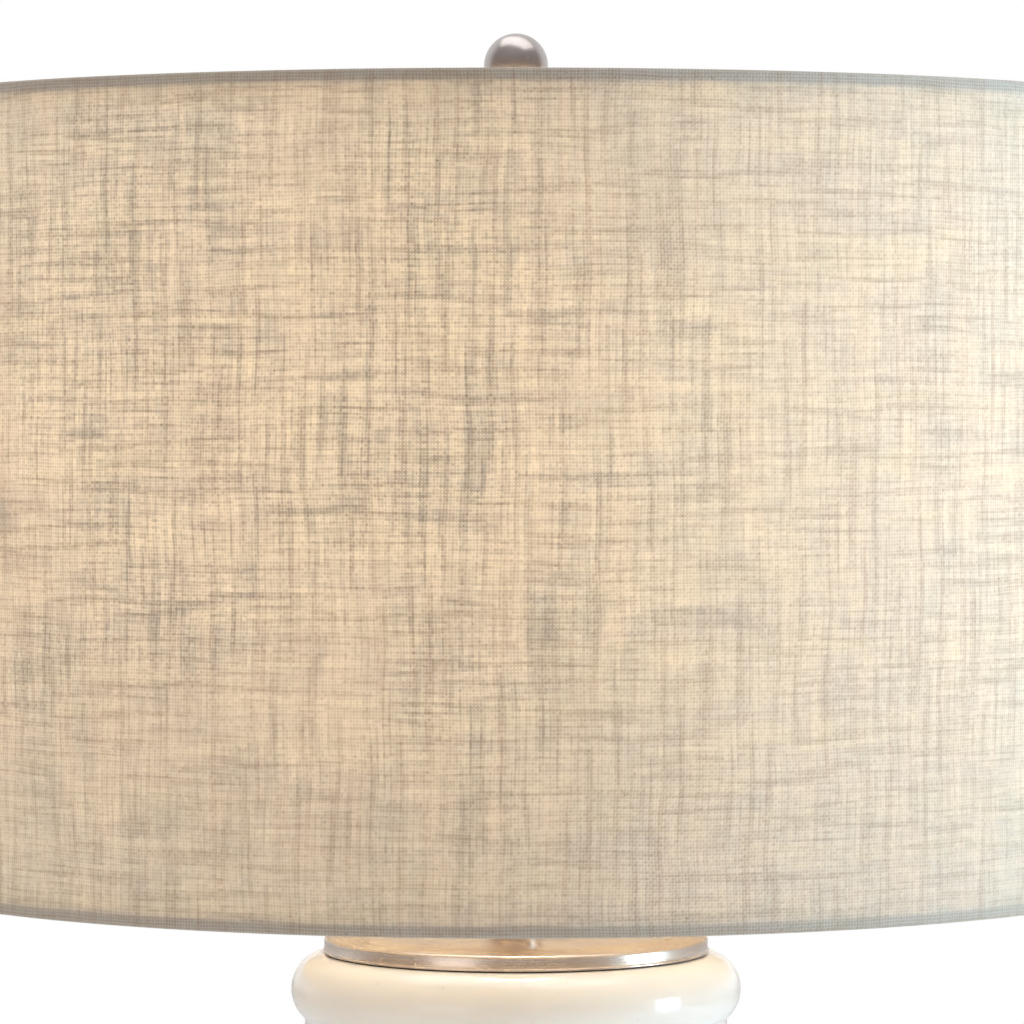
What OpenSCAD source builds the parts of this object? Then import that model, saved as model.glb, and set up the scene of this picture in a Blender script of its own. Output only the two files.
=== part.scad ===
// Table lamp: ceramic vase on a metal foot, metal cap and neck, detachable harp,
// turn-knob lampholder with bulb, and a linen drum shade held by a ball finial.
// Millimetres, +Z up, origin on the table under the lamp's axis.

/* [Foot] */
// Thickness of the felt under the foot
felt_t = 2; // [1:0.5:4]
// Radius of the foot's lower tier
foot_r = 98; // [94:1:110]
// Height of the foot's lower tier
foot_tier_h = 14; // [13.5:0.5:18]
// Height of the foot's upper tier
foot_step_h = 4; // [3:0.5:6]
// Wall of the spun foot
foot_wall = 3; // [2:0.5:3.5]
// Radius of the hole that the cord leaves by
cord_hole_r = 3; // [2.5:0.25:3]

/* [Ceramic vase] */
// Height of the vase from its foot ring to the land under the cap
vase_h = 376; // [360:2:400]
// Radius of the belly
belly_r = 136; // [120:1:150]
// Height of the belly's widest point above the vase's foot
belly_h = 212; // [190:2:230]
// Radius of the waist above the foot bead
waist_r = 80; // [77:1:84]
// Section radius of the foot bead
bead_r = 13.5; // [12:0.5:14]
// Largest radius of the rolled collar
roll_max_r = 89.3; // [88.5:0.1:92]
// Section radius of the rolled collar
roll_r = 14.5; // [13.5:0.1:15]
// Radius of the groove under the collar
groove_r = 83.9; // [83:0.1:85]
// Thickness of the ceramic wall
vase_wall = 6; // [5:0.5:8]

/* [Cap and neck] */
// Radius of the metal cap
cap_r = 76.2; // [75:0.1:76.5]
// Height of the cap over its gasket
cap_h = 7.5; // [7:0.1:9]
// Radius of the cap's flat top
cap_flat_r = 64; // [58:0.5:68]
// Outer radius of the neck tube
neck_r = 10.3; // [9:0.1:12]
// Height of the neck tube
neck_h = 40; // [30:1:50]
// Outer radius of the threaded pipe
pipe_r = 5; // [4.8:0.1:5]

/* [Lampholder and bulb] */
// Outer radius of the lampholder's shell
shell_r = 15.6; // [15.6:0.1:16]
// Largest radius of the bulb
bulb_r = 30; // [28:0.5:34]
// Length of the bulb
bulb_h = 109; // [104:1:116]
// Radius of the switch knob
knob_r = 6.2; // [5:0.1:7]

/* [Harp and finial] */
// Height of the harp from under its saddle to its top
harp_h = 276; // [270:1:290]
// Radius of the harp's wire
harp_wire_r = 1.8; // [1.6:0.1:1.9]
// Distance from the axis to each harp leg's foot
leg_x = 28.5; // [27:0.5:31]
// Travel of a locking sleeve
sleeve_travel = 12; // [8:1:12]
// Radius of the finial's ball
ball_r = 12.7; // [10:0.1:16]
// Height of the ball's centre over the finial's seat
ball_rise = 19.8; // [16:0.1:24]

/* [Shade] */
// Outer radius of the linen
shade_r = 254; // [220:1:270]
// Height of the shade from rim to rim
shade_h = 302.8; // [280:0.2:310]
// Height of the top rim over the spider's hub
rim_over_hub = 3.2; // [3:0.1:4]
// Depth of the linen turned in over each wire
turn_in = 6.5; // [5:0.5:12]

/* [Hidden] */
$fn = 96;

// Gap between faces of pieces that move against each other
gap = 0.3;
// Clearance round a screw or a pipe in its own hole
slip = 0.2;
// Running clearance on a stud or a shaft
run = 0.075;

// Stack of the standing parts, from the table up
gasket_t = 1;
foot_z = felt_t;
foot_tier_z = foot_z + foot_tier_h;
foot_top_z = foot_tier_z + foot_step_h;
vase_z = foot_top_z + gasket_t;
land_z = vase_z + vase_h;
cap_gasket_t = 0.5;
cap_z = land_z + cap_gasket_t;
cap_top_z = cap_z + cap_h;
neck_top_z = cap_top_z + neck_h;
check_t = 3;
saddle_z = neck_top_z + check_t;
saddle_t = 2.4;
holder_z = saddle_z + saddle_t;

// Foot
step_r = foot_r - 7;
web_z = foot_top_z - foot_wall;
washer_r = 14;
washer_t = 1.6;
lock_r = 9;
lock_t = 1;
nut_flats = 16;
nut_h = 4.5;
washer_z = web_z - washer_t;
lock_z = washer_z - lock_t;
nut_z = lock_z - nut_h;
pipe_bottom_z = nut_z - 2;
pipe_hole_r = pipe_r + slip;
grommet_z = foot_z + 5.5;
grommet_r = cord_hole_r + 1.2;
grommet_flange_r = grommet_r + 0.9;

// Vase outline
bead_cr = 76;
bead_cz = vase_z + bead_r - 1;
bead_cove = 4;
bead_cove_z = bead_cz + sqrt(pow(bead_r + bead_cove, 2) - pow(waist_r + bead_cove - bead_cr, 2));
belly_z = vase_z + belly_h;
roll_cr = roll_max_r - roll_r;
land_drop = 0.3;
roll_cz = land_z - roll_r + land_drop;
roll_cove = 3;
roll_cove_z = roll_cz - sqrt(pow(roll_r + roll_cove, 2) - pow(groove_r + roll_cove - roll_cr, 2));
mouth_r = 66;

// Lampholder
thread_pitch = 3.6;
shell_bottom_z = holder_z + 16;
shell_top_z = holder_z + 64.6;
cup_r = shell_r + 1;
cup_top_z = holder_z + 23.6;
core_r = shell_r - 2.6;
core_z = holder_z + 19.6;
core_top_z = core_z + 19;
switch_z = holder_z + 30.6;
switch_r = 1.6;
boss_r = 3;
contact_top_z = core_top_z + 4;

// Bulb
bulb_z = contact_top_z + gap;
bulb_neck_r = 13.4;
glass_wall = 0.8;
glass_z = bulb_z + 24;
dome_z = bulb_z + bulb_h - bulb_r;

// Harp
shoulder_z = holder_z + 10.6;
post_r = 2;
post_h = 10;
post_top_z = shoulder_z + post_h;
leg_z = post_top_z + slip;
sleeve_len = 18;
sleeve_in_r = post_r + slip;
sleeve_out_r = sleeve_in_r + 1.2;
sleeve_room = 4;
leg_straight = sleeve_len - post_h + sleeve_travel + sleeve_room;
out_bend = 45;
out_angle = 20;
out_straight = 60;
side_bend = 70;
in_angle = 16;
top_bend = 20;
harp_top_z = saddle_z + harp_h;
wire_top_z = harp_top_z - harp_wire_r;
turn_z = leg_z + leg_straight + out_bend * sin(out_angle) + out_straight * cos(out_angle);
turn_x = leg_x + out_bend * (1 - cos(out_angle)) + out_straight * sin(out_angle);
lean_z = turn_z + side_bend * (sin(out_angle) + sin(in_angle));
lean_x = turn_x + side_bend * (cos(in_angle) - cos(out_angle));
lean_straight = (wire_top_z - lean_z - top_bend * (1 - sin(in_angle))) / cos(in_angle);
top_half = lean_x - lean_straight * sin(in_angle) - top_bend * cos(in_angle);

// Stud, hub and finial
stud_r = 3.175;
stud_disc_r = 9.5;
stud_disc_t = 2;
stud_top_z = harp_top_z + 17.5;
hub_z = harp_top_z + stud_disc_t + gap;
hub_t = 2.4;
hub_r = 12.5;
hub_top_z = hub_z + hub_t;
seat_z = hub_top_z + gap;
ball_z = seat_z + ball_rise;
collar_r = 4.5;
collar_top_z = ball_z - ball_r + 2;

// Shade
rim_z = hub_top_z + rim_over_hub;
hem_z = rim_z - shade_h;
linen_t = 0.6;
liner_t = 0.9;
liner_r = shade_r - linen_t;
ring_wire_r = 1.6;
ring_r = liner_r - liner_t - ring_wire_r - 0.15;
turned_r = ring_r - ring_wire_r - 0.25;
arm_wire_r = 1.5;
arm_in_r = hub_r + 0.05;
arm_out_r = ring_r - ring_wire_r - 0.35;
arm_in_z = hub_z + hub_t / 2;
arm_out_z = rim_z - linen_t - ring_wire_r;
arm_angles = [90, 210, 330];

// Points of an arc round [x, y] from angle a to angle b
function arc(x, y, r, a, b, steps = 12) =
    [for (i = [0:steps]) let (t = a + (b - a) * i / steps) [x + r * cos(t), y + r * sin(t)]];

// Points of a smooth curve from p to s, with q and r as its handles
function curve(p, q, r, s, steps = 20) =
    [for (i = [0:steps]) let (t = i / steps, u = 1 - t)
        u * u * u * p + 3 * u * u * t * q + 3 * u * t * t * r + t * t * t * s];

// Wavy side of a rolled screw thread from height a to height b
function thread(r, depth, a, b) =
    let (steps = round((b - a) / thread_pitch * 8))
    [for (i = [0:steps]) let (z = a + (b - a) * i / steps) [r + depth * cos(360 * (z - a) / thread_pitch), z]];

module ring(inner, outer, height) {
    difference() {
        cylinder(r = outer, h = height);
        translate([0, 0, -1])
            cylinder(r = inner, h = height + 2);
    }
}

module hex_nut(flats, bore_r, height) {
    difference() {
        cylinder(r = flats / sqrt(3), h = height, $fn = 6);
        translate([0, 0, -1])
            cylinder(r = bore_r, h = height + 2);
    }
}

// Foot --------------------------------------------------------------------

module foot_felt() {
    color("#2b2a28")
        cylinder(r = foot_r - 2, h = felt_t);
}

module foot_plate() {
    edge = 1.5;
    hollow_z = foot_tier_z - foot_wall;
    color("#b9aca0")
        difference() {
            rotate_extrude()
                polygon(concat(
                    [[pipe_hole_r, web_z], [pipe_hole_r, foot_top_z]],
                    arc(step_r - edge, foot_top_z - edge, edge, 90, 0, 5),
                    [[step_r, foot_tier_z]],
                    arc(foot_r - edge, foot_tier_z - edge, edge, 90, 0, 5),
                    [[foot_r, foot_z], [foot_r - foot_wall, foot_z], [foot_r - foot_wall, hollow_z],
                    [step_r - foot_wall, hollow_z], [step_r - foot_wall, web_z]]));
            translate([0, foot_r - 2 * foot_wall, grommet_z])
                rotate([-90, 0, 0])
                    cylinder(r = grommet_r + 0.05, h = 3 * foot_wall);
        }
}

module cord_grommet() {
    lip = 1.6;
    inner_y = sqrt(pow(foot_r - foot_wall, 2) - pow(grommet_flange_r, 2)) - 0.1;
    color("#3a3734")
        translate([0, 0, grommet_z])
            rotate([-90, 0, 0])
                difference() {
                    union() {
                        translate([0, 0, inner_y - lip])
                            cylinder(r = grommet_flange_r, h = lip);
                        translate([0, 0, inner_y - lip])
                            cylinder(r = grommet_r, h = foot_r + lip - inner_y + lip);
                        translate([0, 0, foot_r])
                            cylinder(r = grommet_flange_r, h = lip);
                    }
                    translate([0, 0, inner_y - 2 * lip])
                        cylinder(r = cord_hole_r, h = foot_r - inner_y + 4 * lip);
                }
}

module pipe_nut() {
    color("#c2bfb8")
        translate([0, 0, nut_z])
            hex_nut(nut_flats, pipe_r + 0.05, nut_h);
}

module lock_washer() {
    teeth = 12;
    tooth_w = 1.2;
    tooth_depth = 1.8;
    color("#a9a6a0")
        translate([0, 0, lock_z])
            difference() {
                cylinder(r = lock_r, h = lock_t);
                translate([0, 0, -1])
                    cylinder(r = pipe_hole_r, h = lock_t + 2);
                for (i = [0:teeth - 1])
                    rotate(i * 360 / teeth)
                        translate([lock_r - tooth_depth, -tooth_w / 2, -1])
                            cube([3, tooth_w, lock_t + 2]);
            }
}

module pipe_washer() {
    color("#c2bfb8")
        translate([0, 0, washer_z])
            ring(pipe_hole_r, washer_r, washer_t);
}

module foot_gasket() {
    seat_w = 14;
    color("#4a4640")
        translate([0, 0, foot_top_z])
            ring(mouth_r, mouth_r + seat_w, gasket_t);
}

// Vase --------------------------------------------------------------------

module ceramic_body() {
    flat_angle = asin((bead_r - 1) / bead_r);
    bead_angle = acos((waist_r + bead_cove - bead_cr) / (bead_r + bead_cove));
    roll_angle = acos((groove_r + roll_cove - roll_cr) / (roll_r + roll_cove));
    land_angle = asin((roll_r - land_drop) / roll_r);
    belly_rise = belly_z - bead_cove_z;
    belly_fall = roll_cove_z - belly_z;
    inner_belly_r = belly_r - vase_wall;
    inner_neck = [groove_r - vase_wall, roll_cove_z];
    inner_waist = [waist_r - vase_wall, bead_cove_z];
    color("#f3efe4")
        rotate_extrude($fn = 128)
            polygon(concat(
                [[mouth_r, vase_z]],
                arc(bead_cr, bead_cz, bead_r, -flat_angle, bead_angle, 18),
                arc(waist_r + bead_cove, bead_cove_z, bead_cove, 180 + bead_angle, 180, 5),
                curve([waist_r, bead_cove_z + 0.5], [waist_r, bead_cove_z + 0.22 * belly_rise],
                    [belly_r, belly_z - 0.48 * belly_rise], [belly_r, belly_z]),
                curve([belly_r, belly_z + 0.5], [belly_r, belly_z + 0.62 * belly_fall],
                    [groove_r, roll_cove_z - 0.34 * belly_fall], [groove_r, roll_cove_z - 0.5]),
                arc(groove_r + roll_cove, roll_cove_z, roll_cove, 180, 180 - roll_angle, 5),
                arc(roll_cr, roll_cz, roll_r, -roll_angle + 2, land_angle, 20),
                [[mouth_r + 1.5, land_z], [mouth_r, land_z - 1.5], [mouth_r, roll_cz], inner_neck],
                curve(inner_neck, inner_neck - [0, 0.34 * belly_fall],
                    [inner_belly_r, belly_z + 0.62 * belly_fall], [inner_belly_r, belly_z], 12),
                curve([inner_belly_r, belly_z - 1], [inner_belly_r, belly_z - 0.48 * belly_rise],
                    inner_waist + [0, 0.22 * belly_rise], inner_waist, 12),
                [[mouth_r, bead_cz]]));
}

module cap_gasket() {
    margin = 0.5;
    inset = 2.6;
    color("#4b3a30")
        translate([0, 0, land_z])
            ring(roll_cr - inset, cap_r - margin, cap_gasket_t);
}

module vase_cap() {
    sheet = 1.7;
    corner = 1.3;
    bead = 0.5;
    side_top = cap_top_z - 2.75;
    color("#b59e8c")
        rotate_extrude($fn = 128)
            polygon(concat(
                [[pipe_hole_r, cap_top_z - sheet], [pipe_hole_r, cap_top_z], [cap_flat_r, cap_top_z]],
                arc(cap_r - corner, side_top, corner, 82, 0, 6),
                [[cap_r, cap_z + 3 * bead]],
                arc(cap_r, cap_z + bead, bead, 60, -90, 6),
                [[cap_r - sheet, cap_z], [cap_r - sheet, side_top - 0.4],
                [cap_flat_r, cap_top_z - sheet]]));
}

// Stem --------------------------------------------------------------------

module lamp_pipe() {
    wall = 1.6;
    into_holder = 6;
    color("#b8b4ac")
        translate([0, 0, pipe_bottom_z])
            ring(pipe_r - wall, pipe_r, holder_z + into_holder - pipe_bottom_z);
}

module neck_tube() {
    wall = 2.3;
    color("#b59e8c")
        translate([0, 0, cap_top_z])
            ring(neck_r - wall, neck_r, neck_h);
}

module check_ring() {
    edge = 0.8;
    overhang = 3;
    color("#b59e8c")
        rotate_extrude()
            polygon(concat(
                [[pipe_hole_r, neck_top_z], [pipe_hole_r, saddle_z]],
                arc(neck_r + overhang - edge, saddle_z - edge, edge, 90, 0, 4),
                arc(neck_r + overhang - edge, neck_top_z + edge, edge, 0, -90, 4)));
}

module harp_saddle() {
    half_flat = 16;
    half_w = 6;
    boss = 3.6;
    tip_x = leg_x + 2.5;
    tip_z = saddle_z + 9.5;
    rise = (tip_z - saddle_z) / (tip_x - half_flat);
    skew = saddle_t * sqrt(1 + rise * rise);
    flat_in = half_flat - (skew - saddle_t) / rise;
    color("#c9c2b4")
        difference() {
            union() {
                translate([0, half_w, 0])
                    rotate([90, 0, 0])
                        linear_extrude(2 * half_w)
                            polygon([[-tip_x, tip_z], [-half_flat, saddle_z], [half_flat, saddle_z],
                                [tip_x, tip_z], [tip_x, tip_z + skew], [flat_in, holder_z],
                                [-flat_in, holder_z], [-tip_x, tip_z + skew]]);
                for (side = [-1, 1])
                    translate([side * leg_x, 0, 0]) {
                        translate([0, 0, tip_z - 1])
                            cylinder(r = boss, h = shoulder_z - tip_z + 1);
                        translate([0, 0, shoulder_z])
                            cylinder(r = post_r, h = post_top_z - shoulder_z);
                    }
            }
            translate([0, 0, saddle_z - 1])
                cylinder(r = pipe_hole_r, h = saddle_t + 2);
        }
}

// Lampholder ----------------------------------------------------------------

module socket_cap() {
    sheet = 0.9;
    hub = 8;
    hub_h = 6;
    flare_z = holder_z + 15;
    color("#c8a968")
        difference() {
            rotate_extrude()
                polygon(concat(
                    [[pipe_r + 0.1, holder_z], [hub, holder_z]],
                    curve([hub, holder_z + hub_h], [hub + 4, holder_z + hub_h + 1],
                        [cup_r, flare_z - 5], [cup_r, flare_z], 10),
                    [[cup_r, cup_top_z], [cup_r - sheet, cup_top_z]],
                    curve([cup_r - sheet, flare_z], [cup_r - sheet, flare_z - 4.5],
                        [hub + 3, holder_z + hub_h + 2], [hub - 1, holder_z + hub_h + 1], 10),
                    [[pipe_r + 0.1, holder_z + hub_h + 1]]));
            rotate([0, 90, 90])
                translate([-holder_z - 3, 0, 0])
                    cylinder(r = 1.35, h = 2 * hub);
        }
}

module socket_set_screw() {
    shank_r = 1.3;
    shank_h = 4.6;
    head_r = 2.4;
    head_h = 1.6;
    slot_w = 0.6;
    slot_depth = 0.7;
    color("#9b968c")
        translate([0, pipe_r + 0.3, holder_z + 3])
            rotate([-90, 0, 0])
                difference() {
                    union() {
                        cylinder(r = shank_r, h = shank_h);
                        translate([0, 0, shank_h])
                            cylinder(r = head_r, h = head_h);
                    }
                    translate([-head_r - 1, -slot_w / 2, shank_h + head_h - slot_depth])
                        cube([2 * head_r + 2, slot_w, slot_depth + 1]);
                }
}

module socket_shell() {
    sheet = 0.6;
    lip = 0.6;
    color("#c8a968")
        difference() {
            rotate_extrude()
                polygon([[shell_r - sheet, shell_bottom_z], [shell_r, shell_bottom_z],
                    [shell_r, shell_top_z - 2.4], [shell_r + lip, shell_top_z - 1.8],
                    [shell_r + lip, shell_top_z - 0.6], [shell_r, shell_top_z],
                    [shell_r - sheet, shell_top_z]]);
            switch_way();
        }
}

// Clear way for the switch bushing through the shell and its paper sleeve
module switch_way() {
    translate([0, -core_r, switch_z])
        rotate([90, 0, 0])
            cylinder(r = boss_r + slip, h = 2 * shell_r);
}

module socket_liner() {
    color("#a58d6c")
        difference() {
            translate([0, 0, shell_bottom_z + 1.5])
                ring(shell_r - 1.3, shell_r - 0.75, shell_top_z - shell_bottom_z - 3.5);
            switch_way();
        }
}

module socket_core() {
    shaft_bore_r = switch_r + 0.05;
    color("#2e2a27")
        difference() {
            union() {
                translate([0, 0, core_z])
                    cylinder(r = core_r, h = core_top_z - core_z);
                translate([0, -core_r + 2, switch_z])
                    rotate([90, 0, 0])
                        cylinder(r = boss_r, h = shell_r - core_r + 3.4);
            }
            translate([0, -2, switch_z])
                rotate([90, 0, 0])
                    cylinder(r = shaft_bore_r, h = 2 * shell_r);
            for (side = [-1, 1])
                translate([side * (core_r + 1), 0, core_z + 5])
                    cube([6, 7, 7], center = true);
        }
}

module terminal_screws() {
    head_r = 2.6;
    head_h = 1.6;
    slot_w = 0.6;
    slot_depth = 0.7;
    color("#cfa75a")
        for (side = [-1, 1])
            translate([side * (core_r - 2), 0, core_z + 5])
                rotate([0, side * 90, 0])
                    difference() {
                        cylinder(r = head_r, h = head_h);
                        translate([-head_r - 1, -slot_w / 2, head_h - slot_depth])
                            cube([2 * head_r + 2, slot_w, slot_depth + 1]);
                    }
}

module screw_shell() {
    sheet = 0.6;
    shell_in_r = core_r + 0.5;
    thread_z = core_top_z + 3;
    thread_top = shell_top_z - 2.5;
    turns_top = thread_z + thread_pitch * floor((thread_top - thread_z) / thread_pitch);
    outer = thread(shell_in_r + sheet - 0.15, 0.15, thread_z, turns_top);
    inner = thread(shell_in_r - 0.15, 0.15, thread_z, turns_top);
    color("#d8cdb8")
        rotate_extrude()
            polygon(concat(
                [[6, core_top_z], [shell_in_r + sheet, core_top_z]],
                outer,
                [[shell_in_r + sheet, thread_top], [shell_in_r, thread_top]],
                [for (i = [len(inner) - 1:-1:0]) inner[i]],
                [[shell_in_r, core_top_z + sheet], [6, core_top_z + sheet]]));
}

module center_contact() {
    color("#d8b46a")
        translate([0, 0, core_top_z]) {
            cylinder(r = 3.4, h = 0.8);
            translate([0, 0, 0.8])
                cylinder(r = 1.8, h = contact_top_z - core_top_z - 1.6);
            translate([0, 0, contact_top_z - core_top_z - 0.8])
                cylinder(r = 3, h = 0.8);
        }
}

module switch_shaft() {
    inner_end = 2.4;
    shaft_length = 22.6;
    color("#b9b2a6")
        translate([0, -inner_end, switch_z])
            rotate([90, 0, 0])
                cylinder(r = switch_r, h = shaft_length);
}

module switch_knob() {
    flutes = 14;
    knob_y = shell_r + 5.4;
    knob_h = 13;
    color("#26231f")
        translate([0, -knob_y, switch_z])
            rotate([90, 0, 0])
                difference() {
                    union() {
                        cylinder(r = knob_r - 1.4, h = 3);
                        translate([0, 0, 3])
                            cylinder(r = knob_r, h = knob_h - 5);
                        translate([0, 0, knob_h - 2])
                            cylinder(r = knob_r - 0.8, h = 2);
                    }
                    for (i = [0:flutes - 1])
                        rotate(i * 360 / flutes)
                            translate([knob_r + 0.3, 0, 3])
                                cylinder(r = 0.9, h = knob_h, $fn = 24);
                    translate([0, 0, -1])
                        cylinder(r = switch_r + 0.02, h = 5.4);
                }
}

// Bulb ----------------------------------------------------------------------

module bulb_tip() {
    color("#c9c4b8")
        translate([0, 0, bulb_z])
            rotate_extrude()
                polygon([[0, 0], [3, 0], [4.8, 0.9], [0, 0.9]]);
}

module bulb_insulator() {
    color("#1f1d1c")
        translate([0, 0, bulb_z + 0.9])
            rotate_extrude()
                polygon([[0, 0], [5, 0], [9.4, 2.6], [9.4, 4.2], [0, 4.2]]);
}

module bulb_cap() {
    sheet = 0.5;
    side_r = 12.75;
    low = bulb_z + 7;
    high = low + 4 * thread_pitch;
    color("#cfcabd")
        rotate_extrude()
            polygon(concat(
                [[9.5, bulb_z + 3.5], [side_r, bulb_z + 6]],
                thread(side_r, 0.25, low, high),
                [[side_r + 0.25, glass_z], [bulb_neck_r + 0.7, glass_z + 2.2],
                [bulb_neck_r + 0.2, glass_z + 2.2], [side_r - 0.25, glass_z],
                [side_r - sheet - 0.25, low], [9.5, bulb_z + 4.2]]));
}

module bulb_glass() {
    function outline(r, wall) =
        concat(
            curve([bulb_neck_r - 1 - wall, glass_z], [bulb_neck_r + 2 - wall, glass_z + 18],
                [r, dome_z - 0.55 * r], [r, dome_z]),
            arc(0, dome_z, r, 3, 90, 20));
    outer = outline(bulb_r, 0);
    inner = outline(bulb_r - glass_wall, glass_wall);
    color("#f6f1e4", 0.9)
        rotate_extrude()
            polygon(concat(outer, [for (i = [len(inner) - 1:-1:0]) inner[i]]));
}

module bulb_stem() {
    color("#dfe6e4", 0.6)
        translate([0, 0, bulb_z + 9])
            rotate_extrude()
                polygon(concat(
                    [[0, 0], [9, 0]],
                    curve([9, 1.2], [3.5, 5], [3, 8], [2.6, 20], 8),
                    [[2.6, 40], [1.2, 44], [0, 44]]));
}

module bulb_filament() {
    span = 12;
    coil_z = dome_z - 4;
    lead_z = bulb_z + 54.1;
    color("#7d7771")
        union() {
            translate([0, 0, coil_z])
                rotate([90, 0, 0])
                    rotate_extrude(angle = 180, $fn = 48)
                        translate([span, 0])
                            circle(r = 0.7, $fn = 16);
            for (side = [-1, 1])
                translate([side * span, 0, lead_z])
                    cylinder(r = 0.5, h = coil_z - lead_z, $fn = 16);
            translate([-span - 0.5, -0.5, lead_z - 1])
                cube([2 * span + 1, 1, 1]);
        }
}

// Harp ----------------------------------------------------------------------

// Points of the right half of the harp's wire: x, z and the heading from +X in degrees
function harp_side() =
    let (bend_z = leg_z + leg_straight)
    concat(
        [[leg_x, leg_z, 90]],
        [for (a = [0:out_angle / 4:out_angle])
            [leg_x + out_bend * (1 - cos(a)), bend_z + out_bend * sin(a), 90 - a]],
        [for (a = [-out_angle:(out_angle + in_angle) / 9:in_angle + 0.01])
            [turn_x + side_bend * (cos(a) - cos(out_angle)),
                turn_z + side_bend * (sin(a) + sin(out_angle)), 90 + a]],
        [for (a = [in_angle:(90 - in_angle) / 9:90.01])
            [top_half + top_bend * cos(a), wire_top_z - top_bend * (1 - sin(a)), 90 + a]]);

// Round wire swept along a path in the XZ plane, with flat ends
module swept_wire(path, r, sides) {
    rings = len(path);
    points = [for (p = path, k = [0:sides - 1])
        let (a = 360 * k / sides)
        [p[0] - r * cos(a) * sin(p[2]), r * sin(a), p[1] + r * cos(a) * cos(p[2])]];
    walls = [for (i = [0:rings - 2], k = [0:sides - 1])
        let (next = (k + 1) % sides)
        [i * sides + k, i * sides + next, (i + 1) * sides + next, (i + 1) * sides + k]];
    start = [for (k = [sides - 1:-1:0]) k];
    end = [for (k = [0:sides - 1]) (rings - 1) * sides + k];
    polyhedron(points, concat(walls, [start, end]));
}

module harp_loop() {
    right = harp_side();
    left = [for (i = [len(right) - 1:-1:0]) [-right[i][0], right[i][1], -right[i][2]]];
    color("#c9c2b4")
        swept_wire(concat(right, left), harp_wire_r, 16);
}

module harp_stud() {
    color("#c9c2b4")
        translate([0, 0, harp_top_z]) {
            cylinder(r = stud_disc_r, h = stud_disc_t);
            translate([0, 0, stud_disc_t])
                cylinder(r = stud_r, h = stud_top_z - harp_top_z - stud_disc_t);
        }
}

module locking_sleeve(side) {
    color("#c9c2b4")
        translate([side * leg_x, 0, shoulder_z + gap])
            ring(sleeve_in_r, sleeve_out_r, sleeve_len);
}

module sleeve_left() {
    locking_sleeve(-1);
}

module sleeve_right() {
    locking_sleeve(1);
}

// Shade -----------------------------------------------------------------------

module spider_hub() {
    color("#c9c2b4")
        translate([0, 0, hub_z])
            ring(stud_r + run, hub_r, hub_t);
}

// One spider arm's straight wire, thickened by extra
module arm(extra, from_r, to_r) {
    drop = atan((arm_out_z - arm_in_z) / (arm_out_r - arm_in_r));
    translate([0, 0, arm_in_z])
        rotate([0, 90 - drop, 0])
            translate([0, 0, from_r])
                cylinder(r = arm_wire_r + extra, h = to_r - from_r, $fn = 32);
}

module spider_arms() {
    color("#c9c2b4")
        for (a = arm_angles)
            rotate(a)
                arm(0, arm_in_r + 0.1, arm_out_r);
}

module wire_ring(z) {
    color("#c9c2b4")
        translate([0, 0, z])
            rotate_extrude($fn = 180)
                translate([ring_r, 0])
                    circle(r = ring_wire_r, $fn = 32);
}

module top_ring() {
    wire_ring(rim_z - linen_t - ring_wire_r);
}

module bottom_ring() {
    wire_ring(hem_z + linen_t + ring_wire_r);
}

module shade_liner() {
    color("#f7f2e6")
        translate([0, 0, hem_z + linen_t])
            rotate_extrude($fn = 180)
                translate([liner_r - liner_t, 0])
                    square([liner_t, shade_h - 2 * linen_t]);
}

// Linen drum, turned in over both wires and slit round the spider's arms
module shade_linen() {
    inside_r = turned_r - linen_t;
    color("#d9c8ab")
        difference() {
            rotate_extrude($fn = 180)
                polygon([[inside_r, rim_z - turn_in], [inside_r, rim_z], [shade_r, rim_z],
                    [shade_r, hem_z], [inside_r, hem_z], [inside_r, hem_z + turn_in],
                    [turned_r, hem_z + turn_in], [turned_r, hem_z + linen_t],
                    [liner_r, hem_z + linen_t], [liner_r, rim_z - linen_t],
                    [turned_r, rim_z - linen_t], [turned_r, rim_z - turn_in]]);
            for (a = arm_angles)
                rotate(a)
                    arm(0.1, inside_r - 5, ring_r - ring_wire_r + 0.4);
        }
}

// Finial ------------------------------------------------------------------------

module finial_collar() {
    flange_r = 7;
    flange_h = 2;
    color("#a9a09a")
        translate([0, 0, seat_z])
            rotate_extrude()
                polygon(concat(
                    [[stud_r + run, 0], [flange_r, 0]],
                    arc(flange_r - 0.6, flange_h - 0.6, 0.6, 0, 90, 4),
                    curve([collar_r + 1, flange_h], [collar_r, flange_h + 0.6],
                        [collar_r, flange_h + 1.5], [collar_r, flange_h + 3], 5),
                    [[collar_r, collar_top_z - seat_z], [stud_r + run, collar_top_z - seat_z]]));
}

module finial_ball() {
    color("#a9a09a")
        difference() {
            translate([0, 0, ball_z])
                sphere(r = ball_r, $fn = 128);
            translate([0, 0, ball_z - 2 * ball_r])
                cylinder(r = collar_r + 0.05, h = collar_top_z - ball_z + 2 * ball_r);
            translate([0, 0, ball_z - ball_r])
                cylinder(r = stud_r + run, h = stud_top_z + 1 - ball_z + ball_r);
        }
}

foot_felt();
foot_plate();
cord_grommet();
foot_gasket();
ceramic_body();
cap_gasket();
vase_cap();
lamp_pipe();
pipe_nut();
lock_washer();
pipe_washer();
neck_tube();
check_ring();
harp_saddle();
socket_cap();
socket_set_screw();
socket_shell();
socket_liner();
socket_core();
terminal_screws();
screw_shell();
center_contact();
switch_shaft();
switch_knob();
bulb_tip();
bulb_insulator();
bulb_cap();
bulb_glass();
bulb_stem();
bulb_filament();
harp_loop();
harp_stud();
sleeve_left();
sleeve_right();
spider_hub();
spider_arms();
top_ring();
bottom_ring();
shade_liner();
shade_linen();
finial_collar();
finial_ball();
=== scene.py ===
import math

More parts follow.
